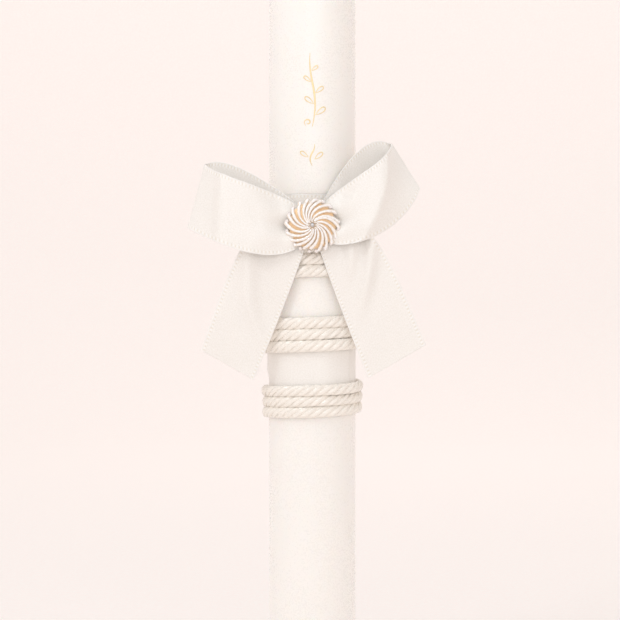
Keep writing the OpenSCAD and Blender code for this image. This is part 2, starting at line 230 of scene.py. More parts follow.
class Wire:
    """A socket in a material. Sums, differences, products and quotients of wires and
    numbers add Math nodes, and make() adds any other node."""

    def __init__(self, tree, out=None):
        self.tree, self.out = tree, out

    def make(self, kind, settings=None, inputs=None, output=0):
        """Adds a node: its settings first, such as a Math node's operation, then the values
        or links of its sockets."""
        node = self.tree.nodes.new(kind)
        for key, value in (settings or {}).items():
            setattr(node, key, value)
        for key, value in (inputs or {}).items():
            if isinstance(value, Wire):
                self.tree.links.new(value.out, node.inputs[key])
            else:
                node.inputs[key].default_value = value
        return Wire(self.tree, node.outputs[output])

    def maths(self, operation, *values):
        """Adds a Math node on some wires or numbers."""
        return self.make("ShaderNodeMath", {"operation": operation}, dict(enumerate(values)))

    def __add__(self, other):
        return self.maths("ADD", self, other)

    __radd__ = __add__

    def __mul__(self, other):
        return self.maths("MULTIPLY", self, other)

    __rmul__ = __mul__

    def __sub__(self, other):
        return self.maths("SUBTRACT", self, other)

    def __rsub__(self, other):
        return self.maths("SUBTRACT", other, self)

    def __truediv__(self, other):
        return self.maths("DIVIDE", self, other)

    def clamp(self):
        """This wire, kept from 0 to 1."""
        return self.make("ShaderNodeClamp", None, {"Value": self})

    def blend(self, low, high):
        """Colour between low, where this wire is 0, and high, where it is 1."""
        sockets = {0: self}
        for key, colour in ((6, low), (7, high)):
            sockets[key] = colour if isinstance(colour, Wire) else (*colour, 1)
        return self.make("ShaderNodeMix", {"data_type": "RGBA"}, sockets, 2)

    def noise(self, where, scale, detail=2.0, rough=0.5):
        """Cloudy pattern from 0 to 1 over the vector where."""
        return self.make("ShaderNodeTexNoise", None,
                         {"Vector": where, "Scale": scale, "Detail": detail, "Roughness": rough})

    def stretch(self, where, scale, turn=0.0):
        """The vector where, scaled along each of its own axes, then turned about Z."""
        return self.make("ShaderNodeMapping", None,
                         {"Vector": where, "Scale": scale, "Rotation": (0, 0, turn)})

    def relief(self, height, depth, strength=1.0, under=None):
        """Normal of a surface whose height wire runs over a depth in millimetres."""
        sockets = {"Height": height, "Distance": depth * MM, "Strength": strength}
        if under:
            sockets["Normal"] = under
        return self.make("ShaderNodeBump", None, sockets)


def finish_of(name, colour, constants, detail):
    """Material with constant shader values. detail gets a wire and the two vectors that
    patterns follow, object and surface coordinates in millimetres, and gives the varying
    inputs."""
    material = bpy.data.materials.new(name)
    material.use_nodes = True
    tree = material.node_tree
    shader = next(n for n in tree.nodes if n.type == "BSDF_PRINCIPLED")
    shader.inputs["Base Color"].default_value = (*colour, 1)
    for key, value in constants.items():
        shader.inputs[key].default_value = value
    wire = Wire(tree)
    coordinates = wire.make("ShaderNodeTexCoord", None, None, 3)
    place = wire.make("ShaderNodeVectorMath", {"operation": "SCALE"},
                      {0: coordinates, "Scale": 1 / MM})
    surface = wire.make("ShaderNodeUVMap", {"uv_map": "surface"})
    for key, value in detail(wire, place, surface).items():
        tree.links.new(value.out, shader.inputs[key])
    return material


def parts_of(wire, vector):
    """The three numbers of a vector, as wires."""
    first = wire.make("ShaderNodeSeparateXYZ", None, {"Vector": vector})
    return [Wire(wire.tree, first.out.node.outputs[k]) for k in range(3)]


# ---------------------------------------------------------------- finishes


def wax_finish(name, colour, shade, gloss):
    """Ivory wax: light scatters inside it, with faint clouds of tone, shallow dips left by
    the last bath, and fine specks that break the silk gloss."""

    def detail(wire, place, surface):
        clouds = wire.noise(wire.stretch(place, (0.05, 0.05, 0.02)), 1.0, 3.0)
        specks = wire.noise(place, 1.6, 2.0)
        dips = wire.noise(wire.stretch(place, (0.06, 0.06, 0.025)), 1.0, 1.0)
        normal = wire.relief(dips, 0.25)
        normal = wire.relief(specks, 0.012, 0.6, normal)
        return {"Base Color": clouds.blend(shade, colour),
                "Roughness": gloss + specks * 0.1 + clouds * 0.06, "Normal": normal}

    return finish_of(name, colour, {
        "Subsurface Weight": 0.2, "Subsurface Radius": (1.0, 0.75, 0.55),
        "Subsurface Scale": 0.0006, "IOR": 1.45, "Specular IOR Level": 0.7,
        "Sheen Weight": 0.35, "Sheen Roughness": 0.5}, detail)


def satin_finish(name, colour, shade, gap, stitch):
    """Satin ribbon: long silky floats along its length, a fine slub grain, and a woven
    edge whose pale stitches stand between gaps darkened with painted shade."""

    def detail(wire, place, surface):
        across, along, _ = parts_of(wire, surface)
        floats = wire.noise(wire.stretch(surface, (3.0, 0.5, 1.0)), 1.0, 2.0)
        slubs = wire.noise(wire.stretch(surface, (1.9, 1.4, 1.0)), 1.0, 3.0, 0.75)
        clouds = wire.noise(place, 0.06, 2.0)
        inset = ribbon_w / 2 - wire.maths("ABSOLUTE", across)
        off = (inset - stitch_inset) / stitch_half
        row = wire.maths("EXPONENT", 0 - off * off * off * off)
        beat = wire.maths("COSINE", along * (TAU / stitch_pitch)) * 0.5 + 0.5
        selvage = (2.0 - inset * 4.5).clamp()
        weave = (slubs * 4.0 - 1.5).clamp()
        tone = (weave * 0.65 + floats * 0.2 + clouds * 0.15).blend(shade, colour)
        # painted shade: between the raised stitches the colour is darkened towards the gap
        # colour
        painted_gap_shade = (row * (1 - beat) * 0.8).blend(tone, gap)
        pale = (row * beat + selvage * 0.7).clamp()
        height = floats * 0.55 + slubs * 0.45
        return {"Base Color": pale.blend(painted_gap_shade, stitch),
                "Roughness": 0.26 + slubs * 0.16 + row * 0.12,
                "Normal": wire.relief(height, 0.2, 1.0)}

    return finish_of(name, colour, {
        "Sheen Weight": 0.2, "Sheen Roughness": 0.35, "Specular IOR Level": 0.9}, detail)


def cord_finish(name, colour, shade):
    """Twisted viscose cord: each ply shows its fibres as fine slanted lines with a soft
    silky light, and is darker down in the grooves."""

    def detail(wire, place, surface):
        fibres = wire.noise(wire.stretch(surface, (20.0, 0.4, 1.0), 0.12), 1.0, 3.0, 0.6)
        slubs = wire.noise(wire.stretch(surface, (6.0, 0.9, 1.0)), 1.0, 2.0)
        return {"Base Color": (fibres * 0.55 + slubs * 0.45).blend(shade, colour),
                "Roughness": 0.19 + fibres * 0.18,
                "Normal": wire.relief(fibres + slubs * 0.4, 0.07, 0.7)}

    return finish_of(name, colour, {
        "Sheen Weight": 0.3, "Sheen Roughness": 0.3, "Specular IOR Level": 1.0}, detail)


def pearl_finish(name, colour, shade):
    """Pearl lustre: a clear glossy skin over milky beads, with a painted highlight: white
    painted along one side, which faces forward on a strand, and blush round the rest, with a
    tone that drifts a little."""

    def detail(wire, place, surface):
        round_bead, _, _ = parts_of(wire, surface)
        drift = wire.noise(place, 0.9, 2.0)
        grain = wire.noise(place, 5.0, 2.0)
        # painted highlight: white painted where the bead's round coordinate is near 0, its edge
        # moved by drift
        painted_highlight = wire.maths("COSINE", round_bead * TAU) * 3.0 + drift * 2.4 - 3.3
        return {"Base Color": painted_highlight.clamp().blend(shade, colour),
                "Roughness": 0.14 + grain * 0.12,
                "Normal": wire.relief(grain, 0.03, 0.5)}

    return finish_of(name, colour, {
        "Coat Weight": 1.0, "Coat Roughness": 0.07, "Coat IOR": 2.0,
        "Specular IOR Level": 0.9}, detail)


def foil_finish(name, colour, shade):
    """Thin gold transfer foil: crinkled, with duller patches."""

    def detail(wire, place, surface):
        crinkle = wire.noise(place, 2.2, 4.0, 0.6)
        return {"Base Color": crinkle.blend(shade, colour),
                "Roughness": 0.16 + crinkle * 0.3, "Normal": wire.relief(crinkle, 0.08, 0.8)}

    return finish_of(name, colour, {"Metallic": 0.85}, detail)


def lacquer_finish(name, colour, shade, metal, gloss):
    """Moulded or turned metal with lacquer: brushed tone and fine pits."""

    def detail(wire, place, surface):
        brushed = wire.noise(wire.stretch(place, (0.6, 0.6, 3.0)), 1.0, 3.0)
        pits = wire.noise(place, 4.0, 2.0)
        return {"Base Color": brushed.blend(shade, colour),
                "Roughness": gloss + brushed * 0.15, "Normal": wire.relief(pits, 0.04, 0.6)}

    return finish_of(name, colour, {"Metallic": metal, "Coat Weight": 0.3}, detail)


def glue_finish(name, colour, shade):
    """Hot-melt glue: milky, slightly translucent, with soft ripples."""

    def detail(wire, place, surface):
        ripples = wire.noise(place, 0.7, 2.0)
        return {"Base Color": ripples.blend(shade, colour), "Roughness": 0.18 + ripples * 0.2,
                "Normal": wire.relief(ripples, 0.2, 0.6)}

    return finish_of(name, colour, {
        "Subsurface Weight": 0.6, "Subsurface Radius": (1.0, 0.8, 0.6),
        "Subsurface Scale": 0.002, "Coat Weight": 0.3}, detail)


def cloth_finish(name, colour, shade, size):
    """Plain matt textile or paper with a fine fibre grain of the given size."""

    def detail(wire, place, surface):
        fibre = wire.noise(place, 1 / size, 3.0, 0.6)
        return {"Base Color": fibre.blend(shade, colour), "Roughness": 0.6 + fibre * 0.25,
                "Normal": wire.relief(fibre, 0.08, 0.7)}

    return finish_of(name, colour, {"Sheen Weight": 0.2}, detail)


dipped_wax = wax_finish("dipped_wax", (0.965, 0.93, 0.89), (0.945, 0.905, 0.86), 0.2)
cast_wax = wax_finish("cast_wax", (0.90, 0.84, 0.76), (0.86, 0.79, 0.70), 0.4)
# Satin: the third colour is painted shade for the gaps between stitches
satin = satin_finish("satin_ribbon", (0.972, 0.945, 0.912), (0.865, 0.825, 0.768),
                     (0.84, 0.78, 0.68), (0.97, 0.955, 0.93))
cord_silk = cord_finish("twisted_cord", (0.975, 0.935, 0.875), (0.90, 0.83, 0.74))
# Bead strands and rim pearls: the first colour is the white of a painted highlight, the second
# the beads' own blush
pearl_strand = pearl_finish("bead_strand", (0.97, 0.96, 0.97), (0.91, 0.79, 0.67))
pearl = pearl_finish("rim_pearl", (0.94, 0.92, 0.93), (0.88, 0.80, 0.77))
gold_foil = foil_finish("gold_foil", (0.95, 0.80, 0.50), (0.84, 0.64, 0.33))
champagne = lacquer_finish("rosette_disc", (0.94, 0.70, 0.44), (0.86, 0.56, 0.30), 0.3, 0.3)
silver = lacquer_finish("silver_bead", (0.75, 0.76, 0.78), (0.60, 0.60, 0.62), 1.0, 0.12)
glue = glue_finish("clear_glue", (0.90, 0.86, 0.78), (0.84, 0.78, 0.68))
tape_paper = cloth_finish("band_tape", (0.90, 0.90, 0.87), (0.84, 0.83, 0.79), 0.6)
thread_cotton = cloth_finish("tie_thread", (0.92, 0.88, 0.80), (0.84, 0.78, 0.68), 0.3)
wick_cotton = cloth_finish("wick_cotton", (0.90, 0.86, 0.77), (0.80, 0.74, 0.62), 0.35)

# ---------------------------------------------------------------- candle


def wall(radius, low, high):
    """Profile points up a straight wall, short of the corners at its two ends."""
    gap = 2.5
    return [(radius, z) for z in np.arange(low + gap, high - 1, gap)]


def wall_step(before, after, z):
    """Profile points of a small step in the wall at a height, with eased corners."""
    step, lip = 0.03, math.copysign(0.02, after - before)
    return [(before, z - 4 * step), (before + lip, z - step),
            (after - lip, z + step), (after, z + 4 * step)]


def slope_shift(profile, edge, cord, turned):
    """How far the wall near a bed's edge moves up round the coat to follow its cord's
    helix: the pitch times the angle turned, eased back to 0 over the end of the turn."""
    low, high = cord
    pitch = (high[2] - low[2] - cord_w) / cord_sweep
    gap = -cord_sweep % TAU
    back = 1 - ease((np.abs(turned) - TAU + gap) / gap)
    near = (1 - ease(np.abs(profile[:, 1:] - edge) / 9)) * (profile[:, :1] > core_r)
    return near * (pitch * turned * back)[None, :]


def dipped_coat():
    """Lathe shell: the dipped profile carried round the axis and back up its inner face,
    with the outer wall moved in and out by a few hundredths of a millimetre. Shallow beds
    under the ribbons and cords begin and end along the cords' own slope."""
    turns, margin = 288, 0.1
    foot, rim_r, dish, wick_hole = 1.0, 2.0, 0.9, 1.3
    lower_cord, middle_cord = box_mm("lower_cord_wrap"), box_mm("middle_cord_wrap")
    upper_cord = box_mm("upper_cord_wrap")
    beds = [(lower_cord[0][2] - margin, middle_cord[1][2] + margin),
            (upper_cord[0][2] - margin, upper_band_high[2] + margin)]
    outer = [(candle_r - foot / 2, 0.0), (candle_r - 0.12, 0.62), (candle_r, foot)]
    low = foot
    for bottom, top in beds:
        outer += wall(candle_r, low, bottom) + wall_step(candle_r, bed_r, bottom)
        outer += wall(bed_r, bottom, top) + wall_step(bed_r, candle_r, top)
        low = top
    outer += wall(candle_r, low, candle_h - rim_r)
    flat_r = candle_r - rim_r
    outer += [(flat_r + rim_r * math.cos(q), candle_h - rim_r + rim_r * math.sin(q))
              for q in np.linspace(0, math.pi / 2, 9)]
    crown = np.linspace(flat_r, wick_hole, 12)[1:]
    outer += [(r, candle_h - dish * (1 - (r / flat_r) ** 2) ** 2) for r in crown]
    core_top = candle_h - (candle_r - core_r)
    inner = [(wick_hole, core_top), (core_r, core_top), (core_r, 0.0)]
    profile = np.array(outer + inner)
    a = np.linspace(0, TAU, turns, endpoint=False)
    begun, left = (a - cord_start) % TAU, (cord_start + cord_sweep - a) % TAU
    r = np.broadcast_to(profile[:, :1], (len(profile), turns))
    z = profile[:, 1:] + sum(slope_shift(profile, *bed_edge) for bed_edge in (
        (beds[0][0], lower_cord, begun), (beds[0][1], middle_cord, -left),
        (beds[1][0], upper_cord, begun)))
    outside = (np.arange(len(profile)) < len(outer) - len(crown))[:, None]
    uneven = ripple(np.cos(a)[None, :] * candle_r, z * 0.35 + np.sin(a)[None, :] * 9, 4, 9)
    r = r + outside * ease((z - 2) / 8) * (uneven * 0.05 - 0.03)
    grid = np.stack([r * np.cos(a), r * np.sin(a), z], -1)
    shell = Shell()
    shell.add(grid[::-1], round_trip=True, loop=True)
    return shell.piece("wax_coat_dipped", dipped_wax, "dipped_wax", "wax_coat")


def braided_wick():
    """Three-ply braid: each ply swings sideways as a sine and in and out as a sine of twice
    the pace, a third of a swing apart, along the straight wick and its curled tip."""
    start, bend, curl_r = box_mm("wick")[0][2], candle_h + 5, 9.0
    sweep = math.radians(42)
    ply_r, swing_w, weave_w, braid_pace = 0.58, 0.62, 0.26, 5.2
    along = np.arange(0, bend - start + curl_r * sweep, 0.35)
    turn = np.clip((along - (bend - start)) / curl_r, 0, None)
    x = curl_r * (1 - np.cos(turn))
    z = start + np.minimum(along, bend - start) + curl_r * np.sin(turn)
    middle = np.stack([x, 0 * x, z], -1)
    side = np.stack([np.cos(turn), 0 * x, -np.sin(turn)], -1)
    face = np.broadcast_to(np.array([0, 1.0, 0]), side.shape)
    taper = 1 - 0.35 * ease((along - along[-1] + 3) / 3)
    shell = Shell()
    for k in range(3):
        phase = TAU * (along / braid_pace + k / 3)
        swing = side * (swing_w * np.sin(phase) * taper)[:, None]
        weave = face * (weave_w * np.sin(2 * phase))[:, None]
        path = middle + swing + weave
        heading = unit(np.gradient(path, axis=0))
        across = unit(np.cross(heading, side))
        shell.add(tube(path, across, unit(np.cross(across, heading)), 9,
                       (ply_r * taper)[:, None]), None, along, caps="fan", round_trip=True)
    return shell.piece("wick_braid", wick_cotton, "wick_cotton", "wick")


def foil_stroke(shell, path, width):
    """Flat foil along points of (x, z) wrapped round the wax, a little domed across, its
    width swelling as a sine from a quarter at each end to full in the middle."""
    path = np.asarray(path, float)
    t = np.linspace(0, 1, len(path))
    heading = unit(np.gradient(path, axis=0))
    side = np.stack([-heading[:, 1], heading[:, 0]], -1)
    ragged = 1 + 0.16 * ripple(path[:, 0] * 3, path[:, 1] * 3, 11, 1.5)
    half = width * (0.25 + 0.75 * np.sin(math.pi * t)) / 2 * ragged
    across = np.linspace(-1, 1, 5)
    flat = path[:, None, :] + side[:, None, :] * (half[:, None] * across)[..., None]
    height = 0.12 * (1 - 0.5 * across**2)
    top = candle_r - 0.02 + np.broadcast_to(height, flat.shape[:2])
    under = np.full_like(top, candle_r - 0.06)
    r = np.concatenate([top, under[:, ::-1]], 1)
    flat = np.concatenate([flat, flat[:, ::-1]], 1)
    a = flat[..., 0] / candle_r
    grid = np.stack([r * np.sin(a), -r * np.cos(a), flat[..., 1]], -1)
    shell.add(grid, caps="strip", round_trip=True)


def sprig_leaf(at, heading, size):
    """Narrow closed loop that starts and ends at a place and points along a heading."""
    t = np.linspace(0, TAU, 49)
    u = (1 - np.cos(t)) / 2 * size
    v = np.sin(t) * np.sin(t / 2) * size * 0.24
    c, s = math.cos(heading), math.sin(heading)
    return np.array(at) + np.stack([u * c - v * s, u * s + v * c], -1)


def sprig_curl(at, heading, size, turn):
    """Curl that winds inward from a place, starting along a heading."""
    t = np.linspace(0, math.radians(400), 60)
    r = size * (1 - t / math.radians(560))
    ahead = np.array([math.cos(heading), math.sin(heading)])
    beside = np.array([-ahead[1], ahead[0]]) * turn
    return np.array(at) + beside * size + r[:, None] * (
        np.sin(t)[:, None] * ahead - np.cos(t)[:, None] * beside)


def gold_sprigs():
    """A tall foil sprig with alternate leaves and a curl, and a small one under it."""
    foil_w, tall_z, small_z = 0.85, 282.0, box_mm("gold_sprigs")[0][2]
    shell = Shell()

    def stem(z0, height, sway, t):
        """Upright stem that sways as a sine."""
        return np.stack([sway * np.sin(math.radians(300) * t), z0 + height * t], -1)

    t = np.linspace(0, 1, 90)
    foil_stroke(shell, stem(tall_z, 33, 1.2, t), foil_w)
    for k in range(5):
        side = 1 if k % 2 == 0 else -1
        at = stem(tall_z, 33, 1.2, 0.16 + 0.15 * k) + [side * foil_w * 0.7, 0]
        leaf = sprig_leaf(at, math.radians(90 - side * 52), 5.4 - 0.5 * k)
        foil_stroke(shell, leaf, foil_w * 0.6)
    foil_stroke(shell, sprig_curl((-2.9, tall_z + 0.5), math.radians(150), 1.7, -1),
                foil_w * 0.7)
    foil_stroke(shell, stem(small_z, 10, -1, t[::3]), foil_w * 0.8)
    foil_stroke(shell, sprig_leaf((1, small_z + 3), math.radians(40), 4.6), foil_w * 0.6)
    foil_stroke(shell, sprig_leaf((-1.9, small_z + 4), math.radians(145), 4.2), foil_w * 0.6)
    return shell.piece("gold_foil_sprigs", gold_foil, "gold_foil", "gold_sprigs")


# ---------------------------------------------------------------- ribbon


def across_ribbon():
    """Places across a ribbon, in millimetres from its middle: close together over the
    woven edges and their stitches, wider apart between them."""
    edge = ribbon_w / 2 - np.array([0, 0.1, 0.3, 0.55, 0.75, 0.95, 1.15, 1.35, 1.6, 2.1, 2.9])
    middle = np.linspace(-edge[-1], edge[-1], 22)[1:-1]
    return np.concatenate([-edge, middle, edge[::-1]])


def ribbon_shell(mid, across, along):
    """Closed ribbon about a grid of middle points. Its half thickness rises to a bead at
    the woven edges, and beside it a row of short raised stitches runs along both faces."""
    du = np.gradient(mid, axis=0)
    dv = np.gradient(mid, axis=1)
    normal = unit(np.cross(dv, du))
    inset = ribbon_w / 2 - np.abs(across)
    half = 0.15 + 0.1 * bell((inset - 0.22) / 0.22) - 0.07 * bell((inset - 1.05) / 0.6)
    half = half * np.sqrt(np.clip(inset / 0.2, 0.12, 1))
    beat = (0.5 + 0.5 * np.cos(TAU * along / stitch_pitch)) ** 2
    stitches = 0.18 * bell(((inset - stitch_inset) / 0.52) ** 2)[None, :] * beat[:, None]
    lift = (half[None, :] + stitches)[..., None]
    grid = np.concatenate([mid + normal * lift, (mid - normal * lift)[:, ::-1]], 1)
    shell = Shell()
    u = np.concatenate([across, across[::-1], across[:1]])
    shell.add(grid, u, along, caps="strip", round_trip=True)
    return shell


def ribbon_band(name, node, seam, slack):
    """One turn and an overlap of ribbon round the wax: a cylinder whose radius steps up
    over its own start, with a slight bulge where it lies slack."""
    low, high = box_mm(node)
    length = (TAU + overlap) * band_r
    climb_arc = 0.4
    along = np.arange(0, length, 0.34)
    across = across_ribbon()
    a = seam - (TAU - overlap) + along / band_r - overlap
    climb = ease((along / band_r - (TAU - climb_arc)) / climb_arc)
    r = bed_r + ribbon_t / 2 + (ribbon_t + tape_t) * climb
    z = (low[2] + high[2]) / 2 + across
    a2, z2 = a[:, None], z[None, :]
    grain = ripple(a2 * candle_r, z2, 21, 7) * 0.05
    r2 = r[:, None] + slack(a2, z2) + grain
    end_slant = (along / length - 0.97).clip(0)[:, None] * across[None, :] * 0.35
    a2 = a2 + end_slant / band_r * 3
    mid = np.stack([r2 * np.cos(a2), r2 * np.sin(a2), z2 + 0 * a2], -1)
    shell = ribbon_shell(mid, across, along)
    piece = shell.piece(name, satin, "satin_ribbon", node)
    length * MM
    return piece


def lower_slack(a, z):
    """The lower band stands off a little at the left, under the middle winding."""
    off = (a - math.radians(192) + math.pi) % TAU - math.pi
    return 0.9 * bell(off / math.radians(16)) * ease((z - 168) / 5) * ease((184 - z) / 3)


def no_slack(a, z):
    """The upper band lies taut."""
    return 0.0


# Half the bow's height at its waist, and the gap between the rows of its ribbons' grids
half_waist = 5.25
row_gap = 0.28
# The loops' edges as cubic curves of (x, height above the waist), out in front and back
# behind, then the fold's depth in front of the wax and how far the loop opens each way.
# The teardrop's sine wave is scaled so that its widest point reaches that opening.
teardrop = 1.93
left_upper = ([(-1.5, half_waist), (-12, 16), (-43, 20.5), (-48.3, 28.4)],
              [(-1.5, half_waist), (-10, 13), (-40, 36), (-48.3, 28.4)], -3, 7)
left_lower = ([(-1.5, -half_waist), (-13, -20.4), (-38, -11), (-56, -0.6)],
              [(-1.5, -half_waist), (-16, -8.4), (-40, -1.4), (-56, -0.6)], -2, 8)
right_upper = ([(1.5, half_waist), (9, 19), (33, 25), (35.8, 38)],
               [(1.5, half_waist), (8, 17), (23, 47), (35.8, 38)], -7, 7)
right_lower = ([(1.5, -half_waist), (14, -14.4), (41, -3.4), (48.6, 17.3)],
               [(1.5, -half_waist), (12, -1.4), (36, 10.6), (48.6, 17.3)], -5, 8)
# Tail edges as cubic curves of (x, height above the waist, depth in front of the wax)
tie = tails_depth - candle_r
left_outer = [(-1, half_waist - 1, tie), (-30, 6.6, 5), (-33, -9.4, 4.5), (-49.7, -55.4, 1)]
left_inner = [(-1, 1 - half_waist, tie), (-3, -8.4, 6.2), (-8, -25.4, 1), (-26.3, -68.8, -2)]
right_outer = [(1, half_waist - 1, tie), (26, 8.6, 5), (33, -11.4, 4.5), (50.7, -53, 1)]
right_inner = [(1, 1 - half_waist, tie), (2.5, -8.6, 6.2), (8, -25.4, 1), (25, -68, -2)]
# Each ridge down a tail: height, width, where across it lies at a place down the tail, that
# place, its drift inward and how much that quickens, then where it rises and fades, each
# with the length that takes. Places run from 0 at the waist and at the inner edge to 1.
left_ridges = [(2.6, 0.17, 0.86, 0.55, 1.4, 10, (0.28, 0.2), (0.72, 0.25)),
               (1.4, 0.13, 0.5, 0.3, 0.9, 0, (0.15, 0.15), (0.35, 0.25))]
right_ridges = [(2.6, 0.14, 0.84, 0.53, 2.3, 0, (0.3, 0.15), (0.64, 0.2)),
                (1.7, 0.12, 0.58, 0.43, 1.5, 0, (0.2, 0.15), (0.48, 0.16))]


def loop_edge(edge, u):
    """A loop's edge: u runs from 0 at the waist's front, over the fold at one half, to 1 at
    its back. The way out is the square of the sine of half a turn. The depth runs from the
    tie to the fold with that distance squared, and a teardrop opens the loop about it: the
    distance squared times the sine of a whole turn."""
    front, back, fold, opening = edge
    s = np.sin(math.pi * u) ** 2
    outward = (u <= 0.5)[:, None]
    flat = np.where(outward, cubic(front, s), cubic(back, s))
    tied = np.where(u <= 0.5, loops_front, loops_back)
    depth = tied + s**2 * (candle_r + fold - tied + teardrop * opening * np.sin(TAU * u))
    return np.stack([flat[:, 0], -depth, waist_z + flat[:, 1]], -1)


def loop_puff(u, v, mirror):
    """How far the front layer stands forward of a plain teardrop, as depth: a bell along
    the loop that starts steeply beside the waist, a ridge past which the ribbon falls
    straight away to its fold, and pleats that fade out from the waist, two soft puffs with
    a crease between them. mirror is 1 on the left and -1 on the right."""
    wave = np.sin(TAU * u)[:, None]
    s = (np.sin(math.pi * u) ** 2)[:, None]
    v = v[None, :]
    rise = ease((s - 0.24 - 0.05 * np.cos(TAU * v)) / 0.24)
    body = 3.4 * rise * (1 - ease((s - 0.5) / 0.45))
    ridge, fold = (0.72, -2.5) if mirror > 0 else (0.3 + 0.5 * v**0.6, -6)
    ridge_depth, mean_opening = 28.6, 7.5
    teardrop_wave = teardrop * mean_opening * wave
    plain = loops_front + s**2 * (candle_r + fold - loops_front + teardrop_wave)
    straight = ridge_depth + (candle_r + fold - ridge_depth) * (s - ridge) / (1 - ridge)
    past = ease((s - ridge) / 0.1)
    body = body * (1 - past) + past * (straight - plain) + 0.8 * bell((s - ridge) / 0.1)
    fade = ease((s - 0.05) / 0.1) * (1 - ease((s - 0.18) / 0.32))
    puffs = 1.6 * np.sin(TAU * (v - 0.02 * mirror)) ** 2
    crease = -1.5 * bell((v - 0.45 - 0.12 * mirror * s) / 0.09)
    lip = 2.3 * (1 - ease(v / 0.6)) * ease((s - 0.06) / 0.14) * (1 - ease((s - 0.3) / 0.3))
    return (u <= 0.5)[:, None] * (body + lip + fade * (puffs + crease))


def bow_loops():
    """Both loops as one ribbon: the surface between a lower and an upper edge curve, out
    and back on the left and then on the right, with pleats at the waist."""
    fine = np.linspace(0, 1, 1501)
    left = (loop_edge(left_lower, fine) + loop_edge(left_upper, fine)) / 2
    right = (loop_edge(right_lower, fine[::-1]) + loop_edge(right_upper, fine[::-1])) / 2
    at, along = even_rows(np.concatenate([left, right]), row_gap)
    position = at / (len(fine) - 1)
    across = across_ribbon()
    v = across / ribbon_w + 0.5
    on_left = position <= 1 + 0.5 / len(fine)
    u = np.where(on_left, position, 2 + 1 / (len(fine) - 1) - position).clip(0, 1)
    lower = np.where(on_left[:, None], loop_edge(left_lower, u), loop_edge(right_lower, u))
    upper = np.where(on_left[:, None], loop_edge(left_upper, u), loop_edge(right_upper, u))
    mid = lower[:, None] + (upper - lower)[:, None] * v[None, :, None]
    puff = np.where(on_left[:, None], loop_puff(u, v, 1), loop_puff(u, v, -1))
    s = (np.sin(math.pi * u) ** 2)[:, None]
    crown = 0.7 * (1 - (2 * v[None, :] - 1) ** 2) * ease(s / 0.5)
    soft = ripple(along[:, None], across[None, :], 31, 11) * 0.35 * ease(s / 0.3)
    front = np.where(u <= 0.5, 1.0, -1.0)[:, None] * np.sqrt(np.clip(1 - s, 0, 1))
    mid[..., 1] -= puff + crown * front + soft
    shell = ribbon_shell(mid, across, along)
    piece = shell.piece("bow_loops_satin", satin, "satin_ribbon", "bow_loops")
    return piece


def tail_folds(t, v, ridges):
    """Soft ridges that fan out from the waist down a tail, as depth: each is a bell curve
    across the tail whose middle drifts from the outer to the inner edge on the way down,
    and which rises and fades along it."""
    t, v = t[:, None], v[None, :]
    total = 0
    for height, width, across, place, drift, quicken, (rise, rise_l), (fade, fade_l) in ridges:
        middle = across - drift * (t - place) - quicken * (t - 0.7).clip(0) ** 2
        lasting = ease((t - rise) / rise_l) * (1 - ease((t - fade) / fade_l))
        total = total + height * bell((v - middle) / width) * lasting
    return total


def bow_tails():
    """Both tails as one ribbon folded at the waist: the surface between an inner and an
    outer edge curve on each side, with soft ridges down it and slanted cut ends."""
    fine = np.linspace(1, 0, 1001)
    left = (cubic(left_inner, fine) + cubic(left_outer, fine)) / 2
    right = (cubic(right_inner, fine[::-1]) + cubic(right_outer, fine[::-1])) / 2
    at, along = even_rows(np.concatenate([left, right]), row_gap)
    position = at / (len(fine) - 1)
    on_left = position <= 1 + 0.5 / len(fine)
    t = np.where(on_left, 1 - position, position - 1 - 1 / (len(fine) - 1)).clip(0, 1)
    across = across_ribbon()
    v = across / ribbon_w + 0.5
    inner = np.where(on_left[:, None], cubic(left_inner, t), cubic(right_inner, t))
    outer = np.where(on_left[:, None], cubic(left_outer, t), cubic(right_outer, t))
    mid = inner[:, None] + (outer - inner)[:, None] * v[None, :, None]
    folds = np.where(on_left[:, None], tail_folds(t, v, left_ridges),
                     tail_folds(t, v, right_ridges))
    free = ease((t[:, None] - 0.2) / 0.3)
    soft = ripple(along[:, None], across[None, :], 47, 12) * 0.35 * free
    tuck = 0.6 * ease(v / 0.7)[None, :] * (1 - ease((t - 0.3) / 0.3))[:, None]
    depth = candle_r + mid[..., 2] + folds + soft - tuck
    mid = np.stack([mid[..., 0], -depth, waist_z + mid[..., 1]], -1)
    shell = ribbon_shell(mid, across, along)
    piece = shell.piece("bow_tails_satin", satin, "satin_ribbon", "bow_tails")
    return piece


# ---------------------------------------------------------------- cords


def on_band(z, low):
    """1 where a height lies on a band that starts at low, easing to 0 beside it."""
    return ease((z - low) / 2 + 0.5) * ease((low + ribbon_w - z) / 2 + 0.5)


def on_overlap(a, seam):
    """1 where an angle lies on an overlap, easing to 0 within 8 degrees."""
    off = np.abs((a - seam - overlap / 2 + math.pi) % TAU - math.pi)
    return ease((overlap / 2 + math.radians(8) - off) / math.radians(8))


def seat_r(z, a):
    """Radius of the surface that a cord lies on."""
    lower = on_band(z, lower_band_low[2]) * (
        ribbon_t + (ribbon_t + tape_t) * on_overlap(a, lower_seam))
    upper = on_band(z, upper_band_low[2]) * (
        ribbon_t + (ribbon_t + tape_t) * on_overlap(a, upper_seam))
    return bed_r + lower + upper


